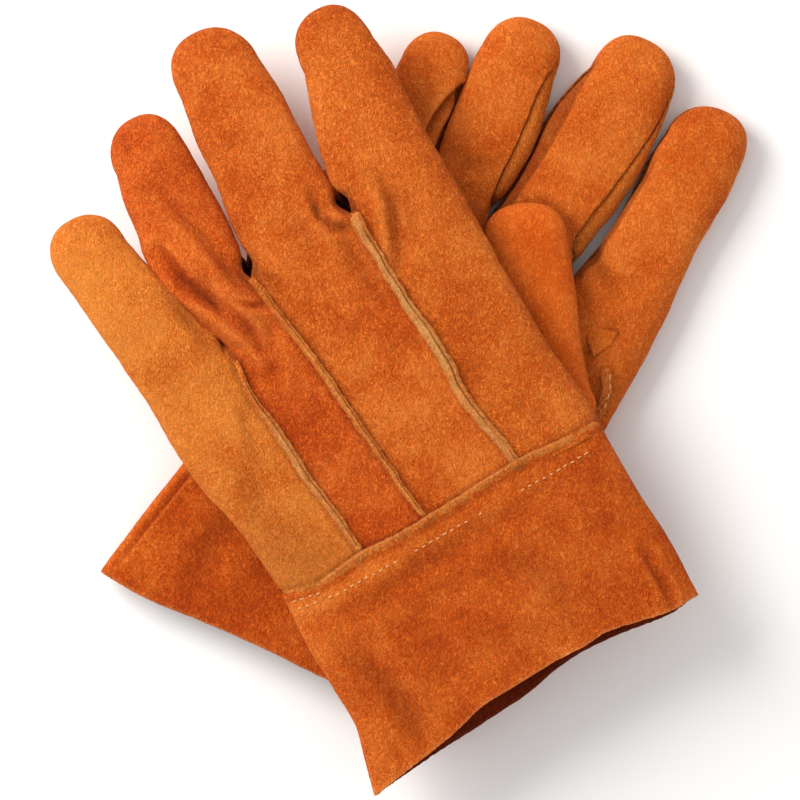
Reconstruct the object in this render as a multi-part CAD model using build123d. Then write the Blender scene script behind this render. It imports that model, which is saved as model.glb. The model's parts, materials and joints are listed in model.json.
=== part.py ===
from build123d import *
from dataclasses import dataclass
import math
import os

# A pair of unlined suede work gloves. The left glove lies back up on the right glove, which lies
# palm up. Millimetres and degrees. Each glove is drawn in a hand frame: X runs from the little
# finger to the index finger, Y from the cuff to the fingertips, Z from the palm to the back, and
# the origin is the middle of the cuff seam on the palm face. The right glove is that frame
# mirrored in Z.

# Leather and the flat, empty glove
leather = 1.4               # thickness of the split suede
hand_thickness = 16.0       # palm face to back face of the flat glove
edge_round = 6.5            # radius of the folded long edges
side_seam_height = edge_round - 3.5   # the palm piece ends on the rounded edge, at this height
clearance = 0.3             # gap between pieces that move past each other

# Raised outseams of the back
seam_width = 4.0
seam_stand_top = 4.5        # how far they stand up on the glove that lies back up
seam_stand_pressed = 0.0    # the glove that lies on its back presses them flush
seam_end_gap = 1.0          # from the end of a seam to the nearest finger root

# Cuff
cuff_seam_little = -66.0    # ends of the cuff seam, across the hand
cuff_seam_index = 66.4
cuff_mouth_step = 4.0       # the palm layer reaches this far past the back layer
cuff_edge_width = 3.5
cuff_edge_height = 1.5
stitch_length = 3.0
stitch_width = 0.8
stitch_height = 0.5
stitch_pitch = 5.0
stitch_row_drop = 4.0       # from the cuff seam to the row of stitches

# Thumb, the same on both gloves. Both thumbs lie in one layer, and a wider base moves each
# away from the other.
thumb_thickness = 14.0
thumb_edge_round = 6.0
thumb_base_width = 34.0
thumb_tip_width = 33.0
thumb_reach = 50.0          # from the centre of its base to the centre of its tip
thumb_hole_width = 22.0     # opening between the hand and the thumb
thumb_seam_width = 4.0
thumb_seam_height = 2.5
thumb_seam_from = -25.0     # span of the seam round the thumb base, from the X axis
thumb_seam_to = 35.0

# Crotch patch, let into the palm, with its corners measured from the thumb's base
patch_corners = [(0.0, 24.5), (14.5, 27.5), (14.5, 22.0), (11.5, 16.0)]

# Overlap used when a piece is built long and then trimmed
trim = 8.0
big = 400.0


@dataclass
class Finger:
    """One finger: the middle of its root line, its lean towards the little finger, and its sizes."""
    root: tuple
    lean: float
    length: float
    root_width: float
    tip_width: float
    droop: float = 0.0      # how far the finger hangs below the hand
    fold_at: float = 0.0    # distance of the fold line from the root
    folds: bool = True


@dataclass
class Glove:
    """The lie of one glove: its fingers, outline, cuff and thumb, and its place in the pair."""
    fingers: dict
    little_bulge: tuple
    index_bulge: tuple
    seam_feet: tuple
    seam_stand: float
    cuff_little_corner: tuple
    cuff_index_corner: tuple
    cuff_droop: float
    thumb_base: tuple
    thumb_lean: float
    place: tuple
    turn: float
    palm_up: bool


# Fingers in order from the little finger to the index finger
left_glove = Glove(
    fingers={
        "little": Finger((-61.0, 100.0), 8.9, 61.7, 33.0, 24.5, droop=11.0),
        "ring": Finger((-34.0, 116.0), -3.0, 66.0, 24.5, 28.5, droop=11.0),
        "middle": Finger((0.2, 121.0), -5.0, 78.5, 42.0, 32.0, droop=9.0),
        "index": Finger((43.3, 119.0), -5.8, 66.3, 42.0, 29.0, droop=7.0),
    },
    little_bulge=(-76.0, 60.0),
    index_bulge=(66.0, 50.0),
    seam_feet=(-36.0, -6.4, 31.8),
    seam_stand=seam_stand_top,
    cuff_little_corner=(-71.7, -74.5),
    cuff_index_corner=(66.8, -67.0),
    cuff_droop=5.0,
    thumb_base=(46.0 - thumb_base_width / 2, 54.0),
    thumb_lean=65.0,
    place=(16.1, -42.0),
    turn=28.3,
    palm_up=False,
)
right_glove = Glove(
    fingers={
        "little": Finger((-52.0, 104.0), -1.0, 62.0, 30.0, 24.0, folds=False),
        "ring": Finger((-20.5, 118.0), 1.0, 68.0, 27.0, 30.0, fold_at=34.0),
        "middle": Finger((13.5, 116.0), -4.6, 81.8, 38.0, 34.0, fold_at=42.0),
        "index": Finger((49.8, 112.0), -4.5, 74.0, 34.0, 31.0, fold_at=38.0),
    },
    little_bulge=(-74.0, 60.0),
    index_bulge=(67.0, 58.0),
    seam_feet=(-36.0, -6.4, 31.8),
    seam_stand=seam_stand_pressed,
    cuff_little_corner=(-80.0, -63.0),
    cuff_index_corner=(67.0, -66.0),
    cuff_droop=0.0,
    thumb_base=(23.6 + thumb_base_width / 2, 68.3),
    thumb_lean=36.0,
    place=(-10.5, -37.2),
    turn=-25.5,
    palm_up=True,
)

# Heights of the stack: right hand, a layer with both thumbs, left hand
thumb_layer = clearance + thumb_thickness + clearance
left_palm_height = hand_thickness + thumb_layer


def slab(points, low, high):
    """A flat solid with this outline, between two heights."""
    outline = make_face(Polyline(*points, close=True))
    return Pos(0, 0, low) * extrude(outline, high - low)


def half_space(y_low, z_low=-big, z_high=big):
    """Everything beyond a Y value, between two heights."""
    depth = z_high - z_low
    return Pos(0, y_low + big / 2, z_low + depth / 2) * Box(big, big, depth)


def finger_frame(finger):
    """The finger's own frame: origin on its root line, Y along the finger."""
    return Pos(*finger.root, 0) * Rot(0, 0, finger.lean)


def root_corners(finger):
    """Both ends of the finger's root line in the hand frame, the little-finger side first."""
    lean = math.radians(finger.lean)
    half = finger.root_width / 2
    across = (half * math.cos(lean), half * math.sin(lean))
    x, y = finger.root
    return [(x - across[0], y - across[1]), (x + across[0], y + across[1])]


def rounded_prism(outline, low, high, radius, open_at=None):
    """An extruded outline with its long edges rounded, except on the line Y = open_at."""
    solid = Pos(0, 0, low) * extrude(outline, high - low)
    edges = [
        edge
        for edge in solid.edges()
        if abs(edge.start_point().Z - edge.end_point().Z) < 0.01
        and (open_at is None or abs(edge.center().Y - open_at) > 0.01)
    ]
    return fillet(edges, radius)


def finger_solid(finger, inset, start):
    """The finger in its own frame, from Y = start to its tip, made smaller by inset."""
    tip_radius = finger.tip_width / 2 - inset
    half_root = finger.root_width / 2 - clearance - inset
    tip_centre = finger.length - finger.tip_width / 2
    root_line = Line((-half_root, start), (half_root, start))
    tip = Pos(0, tip_centre) * Circle(tip_radius)
    outline = make_hull([root_line, *tip.edges()])
    radius = edge_round - inset
    return rounded_prism(outline, inset, hand_thickness - inset, radius, open_at=start)


def finger_tube(finger):
    """The hollow finger in its own frame, open at the root and built long behind it."""
    return finger_solid(finger, 0, -trim) - finger_solid(finger, leather, -trim - 1)


def palm_part(shape):
    """The part of a shape that is cut from the palm piece."""
    return shape & (Pos(0, 0, side_seam_height - big / 2) * Box(2 * big, 2 * big, big))


def back_part(shape):
    """The part of a shape that is cut from a back piece."""
    return shape & (Pos(0, 0, side_seam_height + big / 2) * Box(2 * big, 2 * big, big))


def folding_part(finger, part):
    """The folding length of a finger piece in the hand frame, hanging from its fold line."""
    outer = part & half_space(finger.fold_at - (trim - 1 if finger.droop else 0))
    hinge = Axis((0, finger.fold_at, hand_thickness), (1, 0, 0))
    hanging = outer.rotate(hinge, -finger.droop)
    return finger_frame(finger) * (hanging & half_space(finger.fold_at + clearance))


def fixed_part(finger, part):
    """The length of a finger piece between its root and its fold line, in the hand frame."""
    beyond = half_space(0)
    if finger.folds:
        beyond -= half_space(finger.fold_at)
    return finger_frame(finger) * (part & beyond)


def hand_outline(glove, inset, extra):
    """The hand, from the cuff seam to the finger roots, with extra length at both ends."""
    roots = []
    for finger in glove.fingers.values():
        roots += root_corners(finger)
    little_side = [(cuff_seam_little, 0), glove.little_bulge, roots[0]]
    index_side = [roots[-1], glove.index_bulge, (cuff_seam_index, 0)]
    little_side = [(x + inset, y) for x, y in little_side]
    index_side = [(x - inset, y) for x, y in index_side]
    if not extra:
        return little_side + roots[1:-1] + index_side
    start = [(little_side[0][0], -extra)]
    end = [(index_side[-1][0], -extra)]
    front = [(little_side[-1][0], big / 2), (index_side[0][0], big / 2)]
    return start + little_side + front + index_side + end


def hand_solid(glove, inset=0, extra=0):
    """The hand without its fingers, with its two long sides rounded."""
    solid = slab(hand_outline(glove, inset, extra), inset, hand_thickness - inset)
    inner_x = min(abs(cuff_seam_little), abs(cuff_seam_index)) - leather - edge_round
    edges = []
    for edge in solid.edges():
        start, end = edge.start_point(), edge.end_point()
        level = abs(start.Z - end.Z) < 0.01
        lengthwise = abs(start.Y - end.Y) > abs(start.X - end.X)
        outside = min(abs(start.X), abs(end.X)) > inner_x
        if level and lengthwise and outside:
            edges.append(edge)
    return fillet(edges, edge_round - inset)


def seam_lines(glove):
    """Each outseam from its foot to its top, then the border of the two fingers above it."""
    fingers = list(glove.fingers.values())
    lines = []
    for lower, upper, foot_x in zip(fingers, fingers[1:], glove.seam_feet):
        near, far = root_corners(lower)[1], root_corners(upper)[0]
        top = ((near[0] + far[0]) / 2, min(near[1], far[1]) - seam_end_gap)
        lines.append([(foot_x, cuff_edge_width), top, near, far])
    return lines


def seam_strip(line):
    """Corners of the strip that an outseam covers."""
    (foot_x, foot_y), (top_x, top_y) = line[:2]
    half = seam_width / 2
    return [
        (foot_x - half, foot_y),
        (top_x - half, top_y),
        (top_x + half, top_y),
        (foot_x + half, foot_y),
    ]


def panel_region(lines, number):
    """Corners of the area of the back that belongs to one finger, between two seam lines."""
    near = [(-big, 0), (-big, big)]
    if number > 0:
        line = lines[number - 1]
        near = [(line[0][0], 0), *line, (line[-1][0], big)]
    far = [(big, big), (big, 0)]
    if number < len(lines):
        line = lines[number]
        far = [(line[-1][0], big), *reversed(line), (line[0][0], 0)]
    return near + far


def thumb_frame(glove):
    """The thumb's own frame: origin at its base centre on the palm face, Y along the thumb."""
    return Pos(*glove.thumb_base, 0) * Rot(0, 0, glove.thumb_lean)


def thumb_solid(inset):
    """The thumb below the palm face, as a flat sack with rounded edges."""
    base = Circle(thumb_base_width / 2 - inset)
    tip = Pos(0, thumb_reach) * Circle(thumb_tip_width / 2 - inset)
    outline = make_hull([*base.edges(), *tip.edges()])
    low = -clearance - thumb_thickness + inset
    return rounded_prism(outline, low, -clearance - inset, thumb_edge_round - inset)


def thumb_parts(glove):
    """Inner half against the palm, outer half, and the seam round the thumb's base."""
    shell = thumb_solid(0) - thumb_solid(leather)
    shell -= Cylinder(thumb_hole_width / 2, 2 * leather + 2 * clearance)
    middle = -clearance - thumb_thickness / 2
    inner = shell & half_space(-big / 2, z_low=middle)
    outer = shell & half_space(-big / 2, z_high=middle)
    radius = thumb_base_width / 2
    ring = Circle(radius + thumb_seam_width) - Circle(radius - thumb_edge_round)
    span = [(0, 0)]
    for angle in (thumb_seam_from, (thumb_seam_from + thumb_seam_to) / 2, thumb_seam_to):
        turned = math.radians(angle - glove.thumb_lean)
        span.append((2 * radius * math.cos(turned), 2 * radius * math.sin(turned)))
    sector = ring & make_face(Polyline(*span, close=True))
    seam = Pos(0, 0, -clearance - thumb_seam_height) * extrude(sector, thumb_seam_height)
    seam -= thumb_solid(0)
    frame = thumb_frame(glove)
    return {
        "thumb_inner": frame * inner,
        "thumb_outer": frame * outer,
        "thumb_seam": frame * seam,
    }


def cuff_outline(glove, inset, extra):
    """The cuff from its seam to its mouth, with extra length at both ends."""
    little, index = glove.cuff_little_corner, glove.cuff_index_corner
    return [
        (cuff_seam_little + inset, extra),
        (cuff_seam_index - inset, extra),
        (index[0] - inset, index[1] - cuff_mouth_step - extra),
        (little[0] + inset, little[1] - cuff_mouth_step - extra),
    ]


def cuff_solid(glove, inset, extra):
    """The flat sleeve of the cuff with its two long sides rounded."""
    solid = slab(cuff_outline(glove, inset, extra), inset, hand_thickness - inset)
    edges = []
    for edge in solid.edges():
        start, end = edge.start_point(), edge.end_point()
        if abs(start.Z - end.Z) < 0.01 and abs(start.Y - end.Y) > abs(start.X - end.X):
            edges.append(edge)
    return fillet(edges, edge_round - inset)


def cuff_parts(glove):
    """Back layer, palm layer, raised edge and stitching of the cuff."""
    sleeve = cuff_solid(glove, 0, trim) - cuff_solid(glove, leather, 2 * trim)
    little, index = glove.cuff_little_corner, glove.cuff_index_corner
    step = cuff_mouth_step
    past_mouth = [(-big, little[1]), little, index, (big, index[1]), (big, -big), (-big, -big)]
    past_palm_mouth = [(x, y - step) for x, y in past_mouth]
    whole = slab(past_palm_mouth, -big, big)
    shorter = slab(past_mouth, hand_thickness / 2, big)
    sleeve = sleeve - whole - shorter
    cuff_hinge = Axis((0, 0, 0), (1, 0, 0))
    below_seam = Pos(0, -big / 2, 0) * Box(2 * big, big, big)
    upper_half = half_space(-big / 2, z_low=hand_thickness / 2)
    back = sleeve & upper_half
    palm = sleeve - upper_half

    stitch_face = 0 if glove.palm_up else hand_thickness
    stitch_z = stitch_face + (-stitch_height / 2 if glove.palm_up else stitch_height / 2)
    span = cuff_seam_index - cuff_seam_little - 2 * edge_round - stitch_pitch
    count = int(span // stitch_pitch)
    middle = (cuff_seam_little + cuff_seam_index) / 2
    dash = Box(stitch_length, stitch_width, stitch_height)
    stitches = [
        Pos(middle + (number - (count - 1) / 2) * stitch_pitch, -stitch_row_drop, stitch_z) * dash
        for number in range(count)
    ]

    edge_from = cuff_seam_little + edge_round
    edge_to = cuff_seam_index - edge_round
    edge_points = [
        (edge_from, 0),
        (edge_to, 0),
        (edge_to, cuff_edge_width),
        (edge_from, cuff_edge_width),
    ]
    if glove.palm_up:
        edge = slab(edge_points, -cuff_edge_height, 0)
    else:
        edge = slab(edge_points, hand_thickness, hand_thickness + cuff_edge_height)
    return {
        "cuff_back": back.rotate(cuff_hinge, glove.cuff_droop) & below_seam,
        "cuff_palm": palm.rotate(cuff_hinge, glove.cuff_droop) & below_seam,
        "cuff_edge": edge,
        "cuff_stitching": Compound(children=stitches).rotate(cuff_hinge, glove.cuff_droop),
    }


def hand_parts(glove):
    """Palm, back panels, outseams, patch and finger pieces in the hand frame."""
    shell = hand_solid(glove) - hand_solid(glove, leather, trim)
    lines = seam_lines(glove)
    parts = {}

    palm = palm_part(shell)
    back = back_part(shell)
    for line in lines:
        back -= slab(seam_strip(line), hand_thickness - leather, big)
    for number, (name, finger) in enumerate(glove.fingers.items()):
        tube = finger_tube(finger)
        front_half, back_half = palm_part(tube), back_part(tube)
        panel = back & slab(panel_region(lines, number), -big, big)
        if finger.fold_at or not finger.folds:
            panel += fixed_part(finger, back_half)
            palm += fixed_part(finger, front_half)
        parts[f"back_panel_{name}"] = panel
        if finger.folds:
            label = f"{name}_tip" if finger.fold_at else name
            parts[f"{label}_front"] = folding_part(finger, front_half)
            parts[f"{label}_back"] = folding_part(finger, back_half)

    names = list(glove.fingers)
    for line, lower, upper in zip(lines, names, names[1:]):
        seam = slab(seam_strip(line), hand_thickness - leather, hand_thickness + glove.seam_stand)
        parts[f"seam_{upper}_{lower}"] = seam

    base_x, base_y = glove.thumb_base
    patch_area = slab([(base_x + x, base_y + y) for x, y in patch_corners], -1, leather)
    parts["thumb_patch"] = palm & patch_area
    palm -= patch_area
    palm -= Pos(base_x, base_y, 0) * Cylinder(thumb_hole_width / 2, 4 * leather)
    parts["palm"] = palm
    return parts


def glove_parts(glove):
    """All pieces of one glove in the pair's frame."""
    parts = {**hand_parts(glove), **cuff_parts(glove), **thumb_parts(glove)}
    height = 0 if glove.palm_up else left_palm_height
    place = Pos(*glove.place, height) * Rot(0, 0, glove.turn)
    if glove.palm_up:
        flip = Plane.XY.offset(hand_thickness / 2)
        parts = {name: mirror(part, flip) for name, part in parts.items()}
    return {name: place * part for name, part in parts.items()}


pair = {}
for side, glove in (("left", left_glove), ("right", right_glove)):
    for name, part in glove_parts(glove).items():
        pair[f"{side}_{name}"] = part

# Stand the pair on Z = 0 with the middle of its plan at the origin
boxes = [part.bounding_box() for part in pair.values()]
middle_x = (min(box.min.X for box in boxes) + max(box.max.X for box in boxes)) / 2
middle_y = (min(box.min.Y for box in boxes) + max(box.max.Y for box in boxes)) / 2
lowest = min(box.min.Z for box in boxes)
to_origin = Pos(-middle_x, -middle_y, -lowest)

os.makedirs("parts", exist_ok=True)
for name, part in pair.items():
    export_step(to_origin * part, f"parts/{name}.step")
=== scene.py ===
import json
import math
import random
from dataclasses import dataclass, field

import bmesh
import bpy
from bpy.props import FloatProperty, FloatVectorProperty, IntProperty, PointerProperty
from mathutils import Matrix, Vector, noise


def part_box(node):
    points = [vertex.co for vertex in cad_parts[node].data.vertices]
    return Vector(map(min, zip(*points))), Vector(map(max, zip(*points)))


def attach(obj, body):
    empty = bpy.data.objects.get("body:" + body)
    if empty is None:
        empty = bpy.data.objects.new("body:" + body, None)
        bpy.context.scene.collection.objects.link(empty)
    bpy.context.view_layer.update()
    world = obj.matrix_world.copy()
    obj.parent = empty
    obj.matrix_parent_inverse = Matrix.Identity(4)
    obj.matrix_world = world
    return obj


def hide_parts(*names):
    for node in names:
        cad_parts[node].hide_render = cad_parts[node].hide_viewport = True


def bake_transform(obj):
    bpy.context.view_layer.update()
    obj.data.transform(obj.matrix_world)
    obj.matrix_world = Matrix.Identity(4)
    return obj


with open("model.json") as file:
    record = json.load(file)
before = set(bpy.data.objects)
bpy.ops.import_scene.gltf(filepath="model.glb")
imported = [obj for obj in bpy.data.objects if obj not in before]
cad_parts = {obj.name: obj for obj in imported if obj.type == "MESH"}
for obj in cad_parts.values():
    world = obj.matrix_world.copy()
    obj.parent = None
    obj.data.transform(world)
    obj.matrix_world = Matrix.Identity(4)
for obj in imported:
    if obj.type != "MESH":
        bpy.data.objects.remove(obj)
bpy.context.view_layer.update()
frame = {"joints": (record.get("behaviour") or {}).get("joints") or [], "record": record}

bl_info = {
    "name": "Suede welding gloves",
    "version": (1, 0, 0),
    "blender": (4, 5, 0),
    "location": "3D View > Sidebar > Gloves",
    "description": "A crossed pair of split-suede work gloves around their packed frame",
    "category": "Object",
}

MM = 0.001
FINGERS = ("little", "ring", "middle", "index")


# ------------------------------------------------------------------------------------------
# Settings


class GloveSizes(bpy.types.PropertyGroup):
    """Sizes of the leather, seams and stitches."""

    leather: FloatProperty(
        name="Leather", description="Thickness of the split suede", default=1.4 * MM, unit="LENGTH"
    )
    row_step: FloatProperty(
        name="Row step", description="Spacing of mesh rows along a hand", default=1.0 * MM, unit="LENGTH"
    )
    ripple: FloatProperty(
        name="Ripple", description="Height of the slow unevenness of the hide",
        default=0.8 * MM, unit="LENGTH",
    )
    seam_height: FloatProperty(
        name="Seam height", description="How far an outseam stands up", default=2.8 * MM, unit="LENGTH"
    )
    stitch_length: FloatProperty(
        name="Stitch length", description="Length of one stitch", default=2.0 * MM, unit="LENGTH"
    )
    stitch_pitch: FloatProperty(
        name="Stitch pitch", description="Distance from stitch to stitch", default=3.0 * MM, unit="LENGTH"
    )
    thread: FloatProperty(
        name="Thread", description="Thickness of the sewing thread", default=0.55 * MM, unit="LENGTH"
    )


class SuedeColours(bpy.types.PropertyGroup):
    """Colours of the suede, its cut edges and the thread."""

    deep: FloatVectorProperty(
        name="Deep", description="Brushed-down, darker nap", subtype="COLOR", size=3,
        default=(0.44, 0.048, 0.0015),
    )
    body: FloatVectorProperty(
        name="Body", description="Usual colour of the nap", subtype="COLOR", size=3,
        default=(0.74, 0.124, 0.0065),
    )
    bright: FloatVectorProperty(
        name="Bright", description="Raised, lighter nap", subtype="COLOR", size=3,
        default=(0.97, 0.27, 0.038),
    )
    raw_edge: FloatVectorProperty(
        name="Raw edge", description="Pale fibres of a cut edge", subtype="COLOR", size=3,
        default=(0.86, 0.36, 0.105),
    )
    thread: FloatVectorProperty(
        name="Thread", description="Cotton sewing thread", subtype="COLOR", size=3,
        default=(0.86, 0.46, 0.17),
    )


class StageSettings(bpy.types.PropertyGroup):
    """Floor and studio lights."""

    floor: FloatVectorProperty(
        name="Floor", description="Colour of the floor", subtype="COLOR", size=3,
        default=(0.93, 0.93, 0.93),
    )
    key_power: FloatProperty(name="Key", description="Power of the key light", default=19.0, unit="POWER")
    fill: FloatProperty(name="Fill", description="Strength of the even light", default=0.74, min=0.0)
    seed: IntProperty(name="Seed", description="Seed of every random choice", default=11)


# ------------------------------------------------------------------------------------------
# The lie of each glove, in millimetres of its hand frame: X to the index finger, Y from the
# cuff seam to the fingertips, Z up from the glove's underside. Edges are (Y, X) points.


@dataclass
class Finger:
    """Side edges above the crotches, the tip, and how the two layers share the finger."""

    left: list
    right: list
    tip: tuple
    droop: float = 0.0
    wrap_left: list = field(default_factory=lambda: [(0, 112)])
    wrap_right: list = field(default_factory=lambda: [(0, 112)])
    shaded_sides: list = field(default_factory=list)   # (line, depth) of sides that fall away; they are lowered and get painted shade
    stains_and_shading: list = field(default_factory=list)       # (X, Y, X radius, Y radius, depth) of dull spots, painted highlights (negative depth) and painted shade


@dataclass
class Glove:
    side: str
    borders: list            # the hand's five lengthwise lines, little-finger edge first
    seam_tops: tuple         # Y of the top of each of the three outseams
    crotches: tuple          # Y of each of the three crotches, where the fingers part
    fingers: dict
    cuff_little: list        # side edges of the cuff, from the seam down
    cuff_index: list
    mouth_upper: list        # mouth of the upper and lower layer, as (X, Y)
    mouth_lower: list
    cuff_droop: float
    thumb_lean: float
    thumb_level: float       # underside of the thumb
    pits: dict = field(default_factory=dict)   # crotch number: (Y, half width, half length)


LEFT = Glove(
    side="left",
    borders=[
        [(0, -66), (20, -68), (38, -71), (50, -74.5), (65, -76.5), (88, -77.3)],
        [(0, -34), (20, -36), (38, -39), (54, -40), (73, -42.5), (86, -41.3)],
        [(0, -6.3), (11, -8.8), (24, -10.3), (40, -12.1), (60, -14.3), (78, -16.5), (96, -19.7),
         (110, -21.8)],
        [(0, 32.5), (6, 31.9), (23, 28.3), (36, 26.2), (53, 26.6), (71, 24.6), (88, 23.3), (113, 22.3)],
        [(0, 66.3), (12, 66.6), (34, 64), (57, 62.3), (83, 61.8), (105, 61.9)],
    ],
    seam_tops=(87.0, 111.0, 114.5),
    crotches=(126.0, 110.0, 113.0),
    fingers={
        "little": Finger(
            left=[(102, -78.6), (117, -80.3), (133, -82.4), (145, -84)],
            right=[(95, -42.3), (106, -45.6), (118, -48.6), (127, -51), (134, -53), (145, -55.7)],
            tip=(-70.5, 161.5), droop=11.0,
            # The spots near the base are dull stains; the light spot on the finger's left side is a painted
            # highlight and the dark one at Y 112 painted shade.
            stains_and_shading=[(-58, 16, 13, 18, 0.42), (-46, 5, 10, 8, 0.2), (-78, 128, 9, 38, -0.4),
                    (-50, 112, 6, 26, 0.3), (-44, 60, 5, 24, 0.15)],
        ),
        "ring": Finger(
            left=[(95, -42.3), (106, -45.6), (118, -48.6), (127, -51), (134, -52.3), (143, -51.5),
                  (155, -50.2), (168, -47.6)],
            right=[(121, -20.3), (135, -19.3), (147, -19), (158, -19.4), (168, -19.9)],
            tip=(-33.0, 184.0), droop=11.0,
        ),
        "middle": Finger(
            left=[(118, -19.6), (132, -18.5), (148, -16.5), (161, -15.9), (174, -14.3), (181, -13.3)],
            right=[(126, 21), (137, 20.5), (152, 20.1), (168, 21), (181, 19.7)],
            tip=(2.0, 201.0), droop=9.0,
        ),
        "index": Finger(
            left=[(119, 21), (127, 20.7), (139, 22.7), (152, 26.5), (160, 28.8), (168, 31)],
            right=[(126, 60.8), (144, 60.9), (153, 61.5), (161, 61.2), (168, 60.3)],
            tip=(46.5, 187.0), droop=7.0,
        ),
    },
    cuff_little=[(0, -66.3), (-18, -67), (-36, -66.2), (-53, -65.6), (-64, -68), (-79, -71.5)],
    cuff_index=[(0, 65.6), (-27, 66.3), (-48, 68.1), (-71, 68)],
    mouth_upper=[(-72, -79.8), (-58, -77), (-46, -74.9), (-35, -72.7), (-21, -68.8), (-4, -67.7),
                 (10, -66.8), (23, -67.1), (32, -66.3), (45, -68.5), (58, -70.9), (68, -70.6)],
    mouth_lower=[(-72, -79.6), (-58, -78), (-46, -76.6), (-24, -75), (-3, -73), (16, -69.2),
                 (34, -69.4), (57, -72), (68, -70.7)],
    cuff_droop=5.0,
    thumb_lean=65.0,
    thumb_level=-14.3,
    pits={1: (114.5, 1.4, 3.2), 2: (119.0, 2.3, 3.6)},
)
RIGHT = Glove(
    side="right",
    borders=[
        [(0, -66), (30, -71), (60, -74), (88, -72)],
        [(0, -36), (30, -36.5), (60, -37), (88, -37), (103, -37)],
        [(0, -6.4), (40, -6.5), (80, -6.5), (113, -6.5)],
        [(0, 31.8), (40, 32), (80, 32), (107, 31.8)],
        [(0, 66.3), (30, 66.8), (58, 66.8), (91, 68.9), (110, 69.3)],
    ],
    seam_tops=(101.0, 111.0, 105.0),
    crotches=(103.0, 113.0, 107.0),
    fingers={
        "little": Finger(
            left=[(110, -68), (130, -64.5), (148, -61.9), (154, -61.7)],
            right=[(112, -36.5), (126, -35.2), (135, -35.8), (151, -36.2), (157, -36.6)],
            tip=(-49.0, 168.8),
            wrap_left=[(0, 92)], wrap_right=[(0, 88)],
        ),
        "ring": Finger(
            left=[(112, -36), (126, -34.5), (135, -35.6), (151, -36.2), (166, -36.8), (171, -36.3)],
            right=[(119, -5.5), (130, -3.9), (144, -2.7), (161, -4.7), (171, -6.9)],
            tip=(-21.5, 187.5),
            wrap_left=[(0, 96)],
            wrap_right=[(0, 60), (118, 48), (130, 40), (150, 37), (164, 42), (176, 66), (186, 88)],
        ),
        "middle": Finger(
            left=[(118, -6), (129, -4.6), (140, -3.9), (149, -3.9), (159, -3.1), (166, -1.7), (174, 0.6),
                  (181, 3.3)],
            right=[(116, 31), (126, 32.8), (134, 35), (143, 36.2), (153, 37.1), (162, 36.9),
                   (178, 36.3), (184, 35.2)],
            tip=(18.5, 199.0),
            wrap_left=[(0, 96)],
            wrap_right=[(0, 60), (112, 48), (130, 36), (142, 42), (155, 50), (168, 66), (185, 84)],
            shaded_sides=[([(114, -1.8), (119, -1.7), (130, -0.6), (141, 1.2), (154, 2.6), (163, 3.2),
                          (173, 3.0), (182, 4.4), (190, 7.0)], 1.5)],
        ),
        "index": Finger(
            left=[(112, 32.2), (123, 34.9), (135, 36.3), (148, 37.4), (160, 38), (171, 39.5)],
            right=[(139, 68.8), (159, 70.2), (171, 70)],
            tip=(56.0, 187.5),
            wrap_left=[(0, 96)], wrap_right=[(0, 96)],
            shaded_sides=[([(106, 33.5), (120, 36.2), (135, 38.2), (150, 39.4), (168, 40.8)], 1.2)],
        ),
    },
    cuff_little=[(0, -66), (-17, -69), (-40, -74.5), (-66, -79.5)],
    cuff_index=[(0, 66.4), (-30, 66.6), (-66, 67)],
    mouth_upper=[(-80, -66.6), (-53, -69.2), (-29, -67.9), (-4, -67.1), (14, -67.4), (67, -66.5)],
    mouth_lower=[(-83, -62.5), (-53, -67.8), (-29, -66.6), (-4, -66), (14, -66), (67, -66)],
    cuff_droop=0.0,
    thumb_lean=36.0,
    thumb_level=16.3,
)

HALF_THICKNESS = 8.0
CUFF_EDGE_MIDDLE = (0.2, 1.75)   # middle of the frame's cuff edge in the hand frame
SECTION_POWER = 2.5              # 2 is an ellipse, more is boxier
PRESSED_POWER = 2.5              # added where a side is pressed against its neighbour
CROTCH_LENGTH = 13.0             # over which a panel turns into a finger
TIP_POWER = 2.3                  # roundness of a fingertip, seen from above
KNUCKLE_LIMIT = 116.0            # a finger starts to droop here at the latest
FLOOR_GAP = 0.4                  # the leather of the lower glove is flattened below this height


def smooth_line(points, at):
    """A smooth curve through (position, value) points, held level beyond its ends."""
    if at <= points[0][0]:
        return points[0][1]
    if at >= points[-1][0]:
        return points[-1][1]
    for index in range(len(points) - 1):
        if at <= points[index + 1][0]:
            break
    (x0, y0), (x1, y1) = points[index], points[index + 1]
    span = x1 - x0

    def slope(number):
        low, high = max(number - 1, 0), min(number + 1, len(points) - 1)
        return (points[high][1] - points[low][1]) / (points[high][0] - points[low][0])

    t = (at - x0) / span
    a, b = slope(index) * span, slope(index + 1) * span
    return (
        (2 * t**3 - 3 * t**2 + 1) * y0 + (t**3 - 2 * t**2 + t) * a
        + (3 * t**2 - 2 * t**3) * y1 + (t**3 - t**2) * b
    )


def ease(low, high, value):
    """0 below low, 1 above high, and a smooth step between."""
    t = min(max((value - low) / (high - low), 0.0), 1.0)
    return t * t * (3 - 2 * t)


def bump(distance, width):
    """A rounded hump of height 1 at distance 0."""
    return math.exp(-((distance / width) ** 2))


def rounded_section(angle, squareness):
    """Point of a rounded section at an angle from its crown, boxier as squareness grows."""
    power = 2 / squareness
    across = math.copysign(abs(math.sin(angle)) ** power, angle)
    rise = math.copysign(abs(math.cos(angle)) ** power, math.cos(angle))
    return across, rise


def tip_shrink(tip_angle):
    """Share of its width that a finger keeps at an angle round its tip."""
    return max(0.0, 1 - math.sin(tip_angle) ** TIP_POWER) ** (1 / TIP_POWER)


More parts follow.
